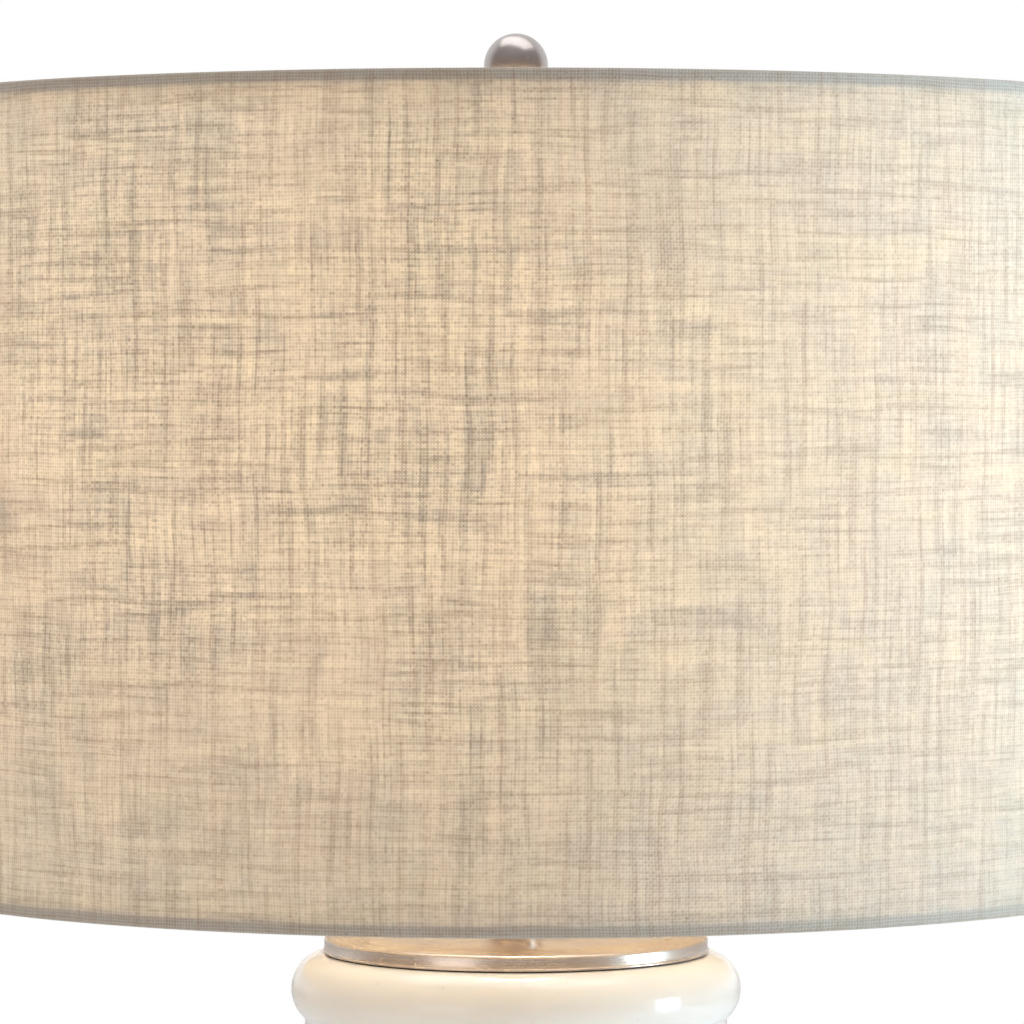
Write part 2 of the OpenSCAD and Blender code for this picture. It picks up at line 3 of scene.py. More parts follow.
import bmesh
import bpy
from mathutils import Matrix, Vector


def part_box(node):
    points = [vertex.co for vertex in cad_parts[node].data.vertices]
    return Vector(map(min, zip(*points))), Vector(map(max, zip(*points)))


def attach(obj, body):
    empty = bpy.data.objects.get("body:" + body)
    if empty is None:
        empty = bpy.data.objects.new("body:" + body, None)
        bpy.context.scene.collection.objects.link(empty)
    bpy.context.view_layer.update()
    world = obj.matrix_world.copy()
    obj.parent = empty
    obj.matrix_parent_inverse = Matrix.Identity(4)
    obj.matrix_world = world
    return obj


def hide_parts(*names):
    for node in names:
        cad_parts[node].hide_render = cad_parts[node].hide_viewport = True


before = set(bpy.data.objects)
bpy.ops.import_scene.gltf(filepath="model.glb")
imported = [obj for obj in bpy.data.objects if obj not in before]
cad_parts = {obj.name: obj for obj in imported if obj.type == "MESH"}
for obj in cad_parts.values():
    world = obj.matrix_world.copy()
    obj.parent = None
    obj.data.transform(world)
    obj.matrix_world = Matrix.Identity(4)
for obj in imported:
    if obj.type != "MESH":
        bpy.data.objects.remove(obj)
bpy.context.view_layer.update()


# Studio -----------------------------------------------------------------------
# The lamp stands on a pale floor before a white backdrop, in a dim room. A tall, cool softbox
# stands at its right, with a weaker one in the same place for the vase alone. A wide one hangs
# above the lamp, and a weak one fills from the front left.

class Signal:
    """One output of a node, which arithmetic turns into more nodes."""

    def __init__(self, graph, socket):
        self.graph = graph
        self.socket = socket

    def output(self, name):
        return Signal(self.graph, self.socket.node.outputs[name])

    def __add__(self, other):
        return self.graph.maths("ADD", self, other)

    def __radd__(self, other):
        return self.graph.maths("ADD", other, self)

    def __sub__(self, other):
        return self.graph.maths("SUBTRACT", self, other)

    def __rsub__(self, other):
        return self.graph.maths("SUBTRACT", other, self)

    def __mul__(self, other):
        return self.graph.maths("MULTIPLY", self, other)

    def __rmul__(self, other):
        return self.graph.maths("MULTIPLY", other, self)

    def __truediv__(self, other):
        return self.graph.maths("DIVIDE", self, other)

    def __pow__(self, other):
        return self.graph.maths("POWER", self, other)

    def __mod__(self, other):
        return self.graph.maths("FLOORED_MODULO", self, other)


class Graph:
    """A node tree that expressions and node() fill."""

    def __init__(self, tree):
        self.tree = tree

    def node(self, kind, settings=None, values=None, output=0):
        made = self.tree.nodes.new(kind)
        for name, value in (settings or {}).items():
            if name == "stops":
                set_stops(made.color_ramp, value)
            else:
                setattr(made, name, value)
        for key, value in (values or {}).items():
            self.feed(made.inputs[key], value)
        return Signal(self, made.outputs[output]) if made.outputs else None

    def feed(self, socket, value):
        if isinstance(value, Signal):
            self.tree.links.new(value.socket, socket)
        elif socket.type == "RGBA":
            socket.default_value = (*value, 1.0)
        else:
            socket.default_value = value

    def maths(self, operation, *values):
        return self.node("ShaderNodeMath", {"operation": operation}, dict(enumerate(values)))

    def point(self, x, y, z=0.0):
        return self.node("ShaderNodeCombineXYZ", values={0: x, 1: y, 2: z})

    def stretch(self, vector, factors):
        return self.node("ShaderNodeVectorMath", {"operation": "MULTIPLY"}, {0: vector, 1: factors})

    def noise(self, vector, scale, detail=2.0, roughness=0.5, dimensions="3D"):
        values = {"Vector": vector, "Scale": scale, "Detail": detail, "Roughness": roughness}
        return self.node("ShaderNodeTexNoise", {"noise_dimensions": dimensions}, values)

    def step(self, value, low, high):
        settings = {"interpolation_type": "SMOOTHSTEP"}
        return self.node("ShaderNodeMapRange", settings, {0: value, 1: low, 2: high, 3: 0.0, 4: 1.0})

    def blend(self, factor, first, second):
        return self.node("ShaderNodeMix", {"data_type": "RGBA"}, {0: factor, 6: first, 7: second}, 2)


def set_stops(ramp, stops):
    """Gives a colour ramp its stops, each a position and a colour."""
    while len(ramp.elements) < len(stops):
        ramp.elements.new(1.0)
    for element, (position, colour) in zip(ramp.elements, stops):
        element.position = position
        element.color = (*colour, 1.0)


def softbox(name, place, aim, width, height, watts, colour):
    lamp = bpy.data.lights.new(name, "AREA")
    lamp.shape = "RECTANGLE"
    lamp.size = width
    lamp.size_y = height
    lamp.energy = watts
    lamp.color = colour
    stand = bpy.data.objects.new(name, lamp)
    bpy.context.collection.objects.link(stand)
    stand.location = place
    stand.rotation_euler = (Vector(aim) - Vector(place)).to_track_quat("-Z", "Y").to_euler()
    stand.visible_camera = False
    return stand


def material(name):
    """An empty material and the graph that fills it."""
    made = bpy.data.materials.new(name)
    made.use_nodes = True
    made.node_tree.nodes.clear()
    return made, Graph(made.node_tree)


shade_low, shade_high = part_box("shade_linen")
shade_height = shade_high.z - shade_low.z
shade_radius = shade_high.x

camera_data = bpy.data.cameras.new("Camera")
camera_data.sensor_width = 36.0
camera_data.lens = 179.3
camera = bpy.data.objects.new("Camera", camera_data)
bpy.context.collection.objects.link(camera)
camera_drop = math.radians(1.31)
camera_aside = -0.0016
camera_distance = 2.024
camera_rise = 0.6245
camera.location = (camera_aside, -camera_distance, shade_low.z + camera_rise * shade_height)
camera.rotation_euler = (math.radians(90) - camera_drop, 0.0, 0.0)
bpy.context.scene.camera = camera
bpy.context.scene.view_settings.view_transform = "Standard"

shade_middle = (0.0, 0.0, shade_low.z + shade_height / 2)
key_turn = math.radians(82)
key_distance = 1.8
key_height = 0.75
key_size = (0.5, 1.9)
key_place = (key_distance * math.sin(key_turn), -key_distance * math.cos(key_turn), key_height)
key_light = softbox("Key", key_place, shade_middle, *key_size, 46.0, (0.58, 0.82, 1.0))
collar_light = softbox("Collar", key_place, shade_middle, *key_size, 27.0, (0.62, 0.84, 1.0))
softbox("Overhead", (0.1, 0.2, 2.3), shade_middle, 2.4, 1.3, 14.0, (1.0, 0.98, 0.97))
fill_light = softbox("Fill", (-1.6, -2.2, 1.0), shade_middle, 1.4, 1.4, 9.0, (1.0, 0.98, 0.97))

world = bpy.data.worlds.new("Studio")
bpy.context.scene.world = world
world.use_nodes = True
world.node_tree.nodes.clear()
room = Graph(world.node_tree)
heading = room.node("ShaderNodeTexCoord", output="Generated")
front_tones = [(0.0, (0.36, 0.28, 0.22)), (0.50, (0.44, 0.34, 0.27)), (0.70, (0.40, 0.36, 0.34)),
               (0.92, (0.50, 0.48, 0.47)), (1.0, (0.85, 0.85, 0.85))]
split_heading = room.node("ShaderNodeSeparateXYZ", values={0: heading})
front = room.node("ShaderNodeValToRGB", {"stops": front_tones}, {0: 0.5 + 0.5 * split_heading.output("Z")})
backdrop = room.step(split_heading.output("Y"), 0.0, 0.5)
tone = room.blend(backdrop, front, (0.92, 0.92, 0.92))
room_light = room.node("ShaderNodeBackground", values={"Color": tone, "Strength": 1.0})
white_wall = room.node("ShaderNodeBackground", values={"Color": (1.0, 1.0, 1.0), "Strength": 1.0})
seen = room.node("ShaderNodeLightPath", output="Is Camera Ray")
lit_room = room.node("ShaderNodeMixShader", values={0: seen, 1: room_light, 2: white_wall})
room.node("ShaderNodeOutputWorld", values={"Surface": lit_room})

floor_half = 12.0
floor_fade = (1.3, 2.3)
floor_mesh = bpy.data.meshes.new("studio_floor")
floor_corners = [(x * floor_half, y * floor_half, 0.0) for x, y in ((-1, -1), (1, -1), (1, 1), (-1, 1))]
floor_mesh.from_pydata(floor_corners, [], [(0, 1, 2, 3)])
floor = bpy.data.objects.new("studio_floor", floor_mesh)
bpy.context.collection.objects.link(floor)
floor_paint, floor_graph = material("floor_paint")
floor_place = floor_graph.node("ShaderNodeTexCoord", output="Object")
floor_tone = floor_graph.blend(floor_graph.noise(floor_place, 3.0), (0.80, 0.79, 0.77), (0.84, 0.83, 0.82))
floor_values = {"Base Color": floor_tone, "Roughness": 0.75}
floor_coat = floor_graph.node("ShaderNodeBsdfPrincipled", values=floor_values)
floor_sweep = floor_graph.node("ShaderNodeEmission", values={"Color": (1.0, 1.0, 1.0)})
floor_reach = floor_graph.node("ShaderNodeVectorMath", {"operation": "LENGTH"}, {0: floor_place}, "Value")
floor_seen = floor_graph.node("ShaderNodeLightPath", output="Is Camera Ray")
floor_white = floor_graph.step(floor_reach, *floor_fade) * floor_seen
floor_mix = floor_graph.node("ShaderNodeMixShader", values={0: floor_white, 1: floor_coat, 2: floor_sweep})
floor_graph.node("ShaderNodeOutputMaterial", values={"Surface": floor_mix})
floor_mesh.materials.append(floor_paint)


# Foot --------------------------------------------------------------------------
# A foot spun from sheet brass in two shallow tiers and plated in satin nickel. A felt disc is
# glued under it, a rubber grommet lines the cord's hole, and a rubber ring carries the vase.

def finish(graph, **values):
    """Ends a material in one coated or bare surface."""
    named = {name.replace("_", " "): value for name, value in values.items()}
    shader = graph.node("ShaderNodeBsdfPrincipled", values=named)
    graph.node("ShaderNodeOutputMaterial", values={"Surface": shader})


def object_place(graph):
    return graph.node("ShaderNodeTexCoord", output="Object")


def relief(graph, height, depth, strength=1.0):
    """Surface direction over a relief whose highest point stands depth metres up."""
    return graph.node("ShaderNodeBump", values={"Height": height, "Distance": depth, "Strength": strength})


def spun_metal(name, colour, worn, roughness):
    """Plated metal with the fine rings that a brush leaves as the piece turns on the lamp's axis."""
    made, graph = material(name)
    place = object_place(graph)
    split = graph.node("ShaderNodeSeparateXYZ", values={0: place})
    x = split.output("X")
    y = split.output("Y")
    reach = (x * x + y * y) ** 0.5
    turn = graph.maths("ARCTAN2", y, x)
    rings = graph.noise(graph.point(reach * 2600, split.output("Z") * 2600, turn * 3), 1.0, 3.0)
    clouds = graph.noise(place, 38.0, 4.0, 0.6)
    specks = graph.step(graph.noise(place, 900.0, 1.0), 0.70, 0.78)
    shine = roughness + 0.10 * (rings - 0.5) + 0.14 * (clouds - 0.5) + 0.15 * specks
    tint = graph.blend(graph.step(clouds, 0.35, 0.75), colour, worn)
    finish(graph, Base_Color=tint, Metallic=1.0, Roughness=shine, Normal=relief(graph, rings, 0.00003))
    return made


def plain_metal(name, colour, worn, roughness, grain_scale=420.0):
    """Drawn, stamped or plated metal with a fine tooth and a little tarnish."""
    made, graph = material(name)
    place = object_place(graph)
    tooth = graph.noise(place, grain_scale, 3.0)
    tarnish = graph.step(graph.noise(place, 60.0, 4.0, 0.6), 0.40, 0.72)
    shine = roughness + 0.12 * (tooth - 0.5) + 0.12 * tarnish
    tint = graph.blend(tarnish, colour, worn)
    finish(graph, Base_Color=tint, Metallic=1.0, Roughness=shine, Normal=relief(graph, tooth, 0.00002))
    return made


def rubber(name, colour, dusty):
    made, graph = material(name)
    place = object_place(graph)
    grain = graph.noise(place, 700.0, 2.0)
    dust = graph.step(graph.noise(place, 45.0, 3.0), 0.45, 0.75)
    tint = graph.blend(dust, colour, dusty)
    finish(graph, Base_Color=tint, Roughness=0.55 + 0.2 * dust, Normal=relief(graph, grain, 0.00005))
    return made


def felt():
    """Pressed wool felt: matted fibres in two sizes, with a soft sheen."""
    made, graph = material("pressed_felt")
    place = object_place(graph)
    fibres = graph.noise(graph.stretch(place, (1.0, 1.0, 2.5)), 650.0, 4.0, 0.7)
    mats = graph.noise(place, 90.0, 3.0)
    tint = graph.blend(0.6 * fibres + 0.4 * mats, (0.010, 0.010, 0.009), (0.060, 0.056, 0.050))
    finish(graph, Base_Color=tint, Roughness=0.95, Sheen_Weight=0.5, Sheen_Roughness=0.5,
           Normal=relief(graph, fibres, 0.0004))
    return made


def dress(node, finish_material):
    """Gives a piece of the frame its material."""
    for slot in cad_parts[node].material_slots:
        slot.material = finish_material


satin_nickel = spun_metal("brushed_nickel", (0.69, 0.60, 0.53), (0.59, 0.50, 0.43), 0.27)
black_rubber = rubber("black_rubber", (0.030, 0.028, 0.026), (0.065, 0.060, 0.055))
dress("foot_felt", felt())
dress("foot_plate", satin_nickel)
dress("cord_grommet", black_rubber)
dress("foot_gasket", black_rubber)


# Vase --------------------------------------------------------------------------
# A slip-cast ceramic vase: a foot bead, a slender waist, a full belly and a rolled collar over
# a narrow groove, dipped in a thick ivory glaze with faint clouds and a few pinholes.

def arc_points(x, z, radius, start, end, steps):
    """Points (x, z) of an arc, with its angles in degrees from +X."""
    angles = [math.radians(start + (end - start) * i / steps) for i in range(steps + 1)]
    return [(x + radius * math.cos(a), z + radius * math.sin(a)) for a in angles]


def curve_points(start, leave, arrive, end, steps):
    """Points of a smooth curve from start to end, with leave and arrive as its handles."""
    points = []
    for i in range(steps + 1):
        t = i / steps
        u = 1 - t
        weights = (u ** 3, 3 * u * u * t, 3 * u * t * t, t ** 3)
        handles = (start, leave, arrive, end)
        points.append(tuple(sum(w * h[k] for w, h in zip(weights, handles)) for k in (0, 1)))
    return points


def turned(name, outline, skin, segments):
    """A piece turned on the lamp's axis from a closed outline of (radius, height) points."""
    sharp_angle = 34
    piece = bpy.data.objects.new(name, bpy.data.meshes.new(name))
    bpy.context.collection.objects.link(piece)
    work = bmesh.new()
    circles = []
    for radius, height in outline:
        if radius < 1e-6:
            circles.append([work.verts.new((0.0, 0.0, height))] * segments)
            continue
        turns = [2 * math.pi * i / segments for i in range(segments)]
        circles.append([work.verts.new((radius * math.cos(a), radius * math.sin(a), height)) for a in turns])
    for lower, upper in zip(circles, circles[1:] + circles[:1]):
        for i in range(segments):
            corners = [lower[i - 1], lower[i], upper[i], upper[i - 1]]
            face = list(dict.fromkeys(corners))
            if len(face) > 2:
                work.faces.new(face)
    bmesh.ops.recalc_face_normals(work, faces=work.faces)
    work.to_mesh(piece.data)
    work.free()
    piece.data.shade_smooth()
    piece.data.set_sharp_from_angle(angle=math.radians(sharp_angle))
    piece.data.materials.append(skin)
    return piece


def fit(piece, body, slot_name, *nodes):
    """Fastens a piece to its body and hides the plain pieces that it stands for. The slot name is not used.
    """
    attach(piece, body)
    if nodes:
        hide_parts(*nodes)


def ivory_glaze():
    """Thick clear glaze on pale clay: faint clouds, a soft ripple and a few pinholes."""
    made, graph = material("ivory_glaze")
    place = object_place(graph)
    clouds = graph.noise(place, 14.0, 4.0, 0.55)
    fine = graph.noise(place, 160.0, 3.0)
    pits = graph.step(graph.noise(place, 420.0, 1.0), 0.765, 0.80)
    tint = graph.blend(graph.step(clouds, 0.30, 0.70), (0.80, 0.78, 0.735), (0.84, 0.825, 0.785))
    speckled = graph.blend(0.45 * pits, tint, (0.52, 0.44, 0.34))
    ripple = relief(graph, 0.7 * graph.noise(place, 34.0, 2.0) + 0.06 * fine - 0.05 * pits, 0.0006)
    dullness = 0.20 + 0.06 * (fine - 0.5) + 0.2 * pits
    finish(graph, Base_Color=speckled, Roughness=dullness, Coat_Weight=0.6, Coat_Roughness=0.05,
           Subsurface_Weight=0.12, Subsurface_Radius=(0.004, 0.003, 0.002), Normal=ripple)
    return made


vase_low, vase_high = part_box("ceramic_body")
belly_radius = vase_high.x
foot_z = vase_low.z
land_z = vase_high.z
wall = 0.006
mouth_radius = 0.066
mouth_edge = 0.0015
waist_radius = 0.080
groove_radius = 0.0839

bead_section = 0.0135
bead_radius = 0.076
bead_cut = 0.001
bead_z = foot_z + bead_section - bead_cut
bead_cove = 0.004
bead_reach = waist_radius + bead_cove - bead_radius
bead_cove_z = bead_z + math.sqrt((bead_section + bead_cove) ** 2 - bead_reach ** 2)
bead_turn = math.degrees(math.acos(bead_reach / (bead_section + bead_cove)))
bead_flat = math.degrees(math.asin((bead_z - foot_z) / bead_section))

roll_section = 0.0145
roll_radius = 0.0748
roll_cut = 0.0003
roll_z = land_z - roll_section + roll_cut
roll_cove = 0.003
roll_reach = groove_radius + roll_cove - roll_radius
roll_cove_z = roll_z - math.sqrt((roll_section + roll_cove) ** 2 - roll_reach ** 2)
roll_turn = math.degrees(math.acos(roll_reach / (roll_section + roll_cove)))
roll_flat = math.degrees(math.asin((land_z - roll_z) / roll_section))

belly_height = 0.212
belly_z = foot_z + belly_height
rise = belly_z - bead_cove_z
fall = roll_cove_z - belly_z
waist_pull = 0.22 * rise
under_belly_pull = 0.48 * rise
over_belly_pull = 0.62 * fall
groove_pull = 0.34 * fall
waist = (waist_radius, bead_cove_z)
belly = (belly_radius, belly_z)
groove = (groove_radius, roll_cove_z)
inner_waist = (waist_radius - wall, bead_cove_z)
inner_belly = (belly_radius - wall, belly_z)
inner_neck = (groove_radius - wall, roll_cove_z)
vase_outline = (
    arc_points(bead_radius, bead_z, bead_section, -bead_flat, bead_turn, 40)
    + arc_points(waist_radius + bead_cove, bead_cove_z, bead_cove, 180 + bead_turn, 180, 10)[1:]
    + curve_points(waist, (waist_radius, bead_cove_z + waist_pull),
                   (belly_radius, belly_z - under_belly_pull), belly, 48)[1:]
    + curve_points(belly, (belly_radius, belly_z + over_belly_pull),
                   (groove_radius, roll_cove_z - groove_pull), groove, 48)[1:]
    + arc_points(groove_radius + roll_cove, roll_cove_z, roll_cove, 180, 180 - roll_turn, 10)[1:]
    + arc_points(roll_radius, roll_z, roll_section, -roll_turn, roll_flat, 44)[1:]
    + arc_points(mouth_radius + mouth_edge, land_z - mouth_edge, mouth_edge, 90, 180, 6)
    + [(mouth_radius, roll_z)]
    + curve_points(inner_neck, (inner_neck[0], roll_cove_z - groove_pull),
                   (inner_belly[0], belly_z + over_belly_pull), inner_belly, 16)
    + curve_points(inner_belly, (inner_belly[0], belly_z - under_belly_pull),
                   (inner_waist[0], bead_cove_z + waist_pull), inner_waist, 16)[1:]
    + [(mouth_radius, bead_z), (mouth_radius, foot_z)]
)
vase = turned("ivory_vase", vase_outline, ivory_glaze(), segments=224)
fit(vase, "base", "ceramic", "ceramic_body")

# The weaker of the two side lights reaches only the vase.
collar_lit = bpy.data.collections.new("Lit by the collar light")
collar_lit.objects.link(vase)
collar_light.light_linking.receiver_collection = collar_lit


# Cap, neck and check ring --------------------------------------------------------
# A shallow cap spun from sheet brass sits on a thin gasket over the vase's mouth. A straight
# neck tube and a small ring stand on it, all plated in the same satin nickel as the foot.

cap_low, cap_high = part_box("vase_cap")
cap_sheet = 0.0017
cap_hole = 0.0052
cap_flat = 0.064
cap_bead = 0.0005
cap_radius = cap_high.x - cap_bead
cap_corner = 0.0013
cap_shoulder = 0.00275
cap_side_z = cap_high.z - cap_shoulder
cap_inner_drop = 0.0004
cap_bend = 0.002
cap_bend_drop = 0.0003
cap_outline = (
    [(cap_hole, cap_high.z - cap_sheet), (cap_hole, cap_high.z)]
    + curve_points((cap_flat - cap_bend, cap_high.z), (cap_flat, cap_high.z),
                   (cap_flat, cap_high.z), (cap_flat + cap_bend, cap_high.z - cap_bend_drop), 6)
    + arc_points(cap_radius - cap_corner, cap_side_z, cap_corner, 82, 0, 12)
    + [(cap_radius, cap_low.z + 3 * cap_bead)]
    + arc_points(cap_radius, cap_low.z + cap_bead, cap_bead, 70, -90, 10)
    + [(cap_radius - cap_sheet, cap_low.z), (cap_radius - cap_sheet, cap_side_z - cap_inner_drop),
       (cap_flat, cap_high.z - cap_sheet)]
)
cap = turned("spun_cap", cap_outline, satin_nickel, segments=224)
fit(cap, "base", "satin_nickel", "vase_cap")

ring_low, ring_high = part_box("check_ring")
ring_radius = ring_high.x
ring_edge = 0.0009
ring_outline = (
    [(cap_hole, ring_low.z), (cap_hole, ring_high.z)]
    + arc_points(ring_radius - ring_edge, ring_high.z - ring_edge, ring_edge, 90, 0, 8)
    + arc_points(ring_radius - ring_edge, ring_low.z + ring_edge, ring_edge, 0, -90, 8)
)
check_ring = turned("neck_check_ring", ring_outline, satin_nickel, segments=96)
fit(check_ring, "base", "satin_nickel", "check_ring")
dress("cap_gasket", rubber("cork_gasket", (0.060, 0.038, 0.024), (0.11, 0.075, 0.05)))
dress("neck_tube", satin_nickel)


# Pipe and its fastenings -----------------------------------------------------------
# A zinc-plated threaded steel pipe runs from the foot to the lampholder and clamps the stack.
# A hexagon nut, a toothed washer and a plain washer hold it under the foot's web.

zinc_steel = plain_metal("zinc_plate", (0.60, 0.60, 0.58), (0.42, 0.41, 0.40), 0.34)
for node in ("lamp_pipe", "pipe_nut", "lock_washer", "pipe_washer"):
    dress(node, zinc_steel)


# Harp -------------------------------------------------------------------------------
# A loop of nickel-plated steel wire whose two feet stand on the posts of a bent saddle. Two
# sliding sleeves lock the feet, and a threaded stud at the top carries the shade.

SOCKET_KINDS = {float: "NodeSocketFloat", int: "NodeSocketInt", bpy.types.Object: "NodeSocketObject",
                bpy.types.Material: "NodeSocketMaterial"}


def grown(name, sizes, build):
    """A plain mesh grown by a geometry tree, whose named inputs are the given sizes."""
    tree = bpy.data.node_groups.new(name, "GeometryNodeTree")
    tree.interface.new_socket("Geometry", in_out="OUTPUT", socket_type="NodeSocketGeometry")
    made = {label: tree.interface.new_socket(label, in_out="INPUT", socket_type=SOCKET_KINDS[type(value)])
            for label, value in sizes.items()}
    graph = Graph(tree)
    entrance = tree.nodes.new("NodeGroupInput")
    shape = build(graph, {label: Signal(graph, entrance.outputs[label]) for label in sizes})
    graph.node("NodeGroupOutput", values={0: shape})
    piece = bpy.data.objects.new(name, bpy.data.meshes.new(name))
    bpy.context.collection.objects.link(piece)
    modifier = piece.modifiers.new(name, "NODES")
    modifier.node_group = tree
    for label, value in sizes.items():
        modifier[made[label].identifier] = value
    depsgraph = bpy.context.evaluated_depsgraph_get()
    grown_piece = piece.evaluated_get(depsgraph)
    mesh = bpy.data.meshes.new_from_object(grown_piece, preserve_all_data_layers=True, depsgraph=depsgraph)
    piece.modifiers.clear()
    piece.data = mesh
    return piece


def pattern(name, points, lengths=False):
    """A line through points that a geometry tree reads, with each point's distance from the start."""
    mesh = bpy.data.meshes.new(name)
    mesh.from_pydata(points, [(i, i + 1) for i in range(len(points) - 1)], [])
    if lengths:
        run = [0.0]
        for before, after in zip(points, points[1:]):
            run.append(run[-1] + math.dist(before, after))
        mesh.attributes.new("run", "FLOAT", "POINT").data.foreach_set("value", run)
    line = bpy.data.objects.new(name, mesh)
    bpy.context.collection.objects.link(line)
    return line


def wire_along(graph, size):
    """Round wire with flat ends along a pattern line."""
    line = graph.node("GeometryNodeObjectInfo", values={"Object": size["Path"]}, output="Geometry")
    path = graph.node("GeometryNodeMeshToCurve", values={0: line})
    section = graph.node("GeometryNodeCurvePrimitiveCircle",
                         values={"Resolution": size["Sides"], "Radius": size["Wire radius"]})
    wire = graph.node("GeometryNodeCurveToMesh", values={0: path, 1: section, "Fill Caps": True})
    real = graph.node("GeometryNodeRealizeInstances", values={0: wire})
    return graph.node("GeometryNodeSetMaterial", values={"Geometry": real, "Material": size["Finish"]})


harp_low, harp_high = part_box("harp_loop")
wire_radius = harp_high.y
foot_x = 0.0285
foot_straight = 0.024
out_bend = 0.045
out_degrees = 20
out_angle = math.radians(out_degrees)
out_straight = 0.060
side_bend = 0.070
in_degrees = 16
in_angle = math.radians(in_degrees)
top_bend = 0.020
turn_x = foot_x + out_bend * (1 - math.cos(out_angle)) + out_straight * math.sin(out_angle)
turn_z = (harp_low.z + foot_straight + out_bend * math.sin(out_angle)
          + out_straight * math.cos(out_angle))
top_z = harp_high.z - wire_radius
lean_x = turn_x + side_bend * (math.cos(in_angle) - math.cos(out_angle))
lean_z = turn_z + side_bend * (math.sin(in_angle) + math.sin(out_angle))
lean_length = (top_z - lean_z - top_bend * (1 - math.sin(in_angle))) / math.cos(in_angle)
top_x = lean_x - lean_length * math.sin(in_angle) - top_bend * math.cos(in_angle)
harp_side = (
    [(foot_x, harp_low.z)]
    + arc_points(foot_x + out_bend, harp_low.z + foot_straight, out_bend, 180, 180 - out_degrees, 10)
    + arc_points(turn_x - side_bend * math.cos(out_angle), turn_z + side_bend * math.sin(out_angle),
                 side_bend, -out_degrees, in_degrees, 20)
    + arc_points(top_x, top_z - top_bend, top_bend, in_degrees, 90, 20)
)
harp_points = [(x, 0.0, z) for x, z in harp_side] + [(-x, 0.0, z) for x, z in reversed(harp_side)]
bright_nickel = plain_metal("bright_nickel", (0.74, 0.71, 0.67), (0.60, 0.56, 0.52), 0.22, 900.0)
harp_line = pattern("harp_line", harp_points)
harp = grown("harp_wire", {"Path": harp_line, "Sides": 20, "Wire radius": wire_radius,
                           "Finish": bright_nickel}, wire_along)
bpy.data.objects.remove(harp_line)
harp.data.shade_smooth()
harp.data.set_sharp_from_angle(angle=math.radians(50))
fit(harp, "base", "satin_nickel", "harp_loop")
for node in ("harp_saddle", "harp_stud", "sleeve_left", "sleeve_right"):
    dress(node, bright_nickel)


# Lampholder --------------------------------------------------------------------------
# A brass cap and shell round a black phenolic core. The shell has a paper sleeve inside, and
# the core carries two terminal screws, the screw shell and the centre contact.

def phenolic(name, colour, bloom):
    """Moulded resin with a dull bloom and a few pale filler specks."""
    made, graph = material(name)
    place = object_place(graph)
    haze = graph.noise(place, 80.0, 3.0)
    filler = graph.step(graph.noise(place, 1500.0, 1.0), 0.68, 0.74)
    tint = graph.blend(0.5 * haze + 0.4 * filler, colour, bloom)
    finish(graph, Base_Color=tint, Roughness=0.32 + 0.2 * haze,
           Normal=relief(graph, graph.noise(place, 600.0), 0.00004))
    return made


def kraft_paper():
    """Brown insulating paper with long pressed fibres."""
    made, graph = material("kraft_paper")
    place = object_place(graph)
    fibres = graph.noise(graph.stretch(place, (1.0, 1.0, 0.25)), 1200.0, 4.0, 0.7)
    tint = graph.blend(fibres, (0.30, 0.21, 0.13), (0.52, 0.40, 0.27))
    finish(graph, Base_Color=tint, Roughness=0.85, Normal=relief(graph, fibres, 0.00008))
    return made


brass = plain_metal("lampholder_brass", (0.80, 0.60, 0.30), (0.58, 0.40, 0.19), 0.28)
for node in ("socket_cap", "socket_shell", "terminal_screws", "center_contact"):
    dress(node, brass)
dress("screw_shell", plain_metal("shell_aluminium", (0.80, 0.79, 0.76), (0.62, 0.60, 0.57), 0.32))
dress("socket_set_screw", zinc_steel)
dress("socket_liner", kraft_paper())
black_phenolic = phenolic("black_phenolic", (0.012, 0.010, 0.009), (0.050, 0.044, 0.038))
dress("socket_core", black_phenolic)


# Switch --------------------------------------------------------------------------------
# A zinc-plated steel shaft turns in the core's bushing, and a fluted phenolic knob is pressed
# on its end.

dress("switch_shaft", zinc_steel)
dress("switch_knob", black_phenolic)


# Bulb ------------------------------------------------------------------------------------
# A frosted glass bulb in a rolled aluminium screw cap with a dark insulator and a soldered
# tip. A clear glass stem inside carries the filament, and the bulb is lit.

bulb_low, bulb_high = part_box("bulb_glass")
bulb_radius = bulb_high.x
bulb_neck = 0.0124
glass_wall = 0.0008
dome_z = bulb_high.z - bulb_radius
lit_from = 0.012
lit_full = 0.038
lit_height = (bulb_low.z + lit_from, bulb_low.z + lit_full)
neck_flare = 0.003
neck_rise = 0.018
shoulder_drop = 0.55
glow_gap = 0.0015


def frosted_glass():
    """Etched glass that the lamp inside lights evenly, with a faint grain."""
    made, graph = material("etched_bulb_glass")
    place = object_place(graph)
    frost = graph.noise(place, 500.0, 3.0)
    dome = graph.step(graph.node("ShaderNodeSeparateXYZ", values={0: place}).output("Z"), *lit_height)
    lit = graph.blend(frost, (1.0, 0.75, 0.47), (1.0, 0.78, 0.51))
    glow = graph.blend(dome, (0.03, 0.02, 0.012), lit)
    finish(graph, Base_Color=graph.blend(frost, (0.88, 0.86, 0.82), (0.94, 0.93, 0.90)), Roughness=0.45,
           Emission_Color=glow, Emission_Strength=14.0, Normal=relief(graph, frost, 0.00003))
    return made


def clear_glass():
    """Drawn glass rod with faint cords in it."""
    made, graph = material("drawn_glass_rod")
    place = object_place(graph)
    cords = graph.noise(graph.stretch(place, (1.0, 1.0, 0.1)), 400.0, 2.0)
    finish(graph, Base_Color=graph.blend(cords, (0.90, 0.94, 0.93), (0.98, 0.99, 0.98)),
           Roughness=0.04 + 0.06 * cords, Transmission_Weight=1.0, IOR=1.5)
    return made


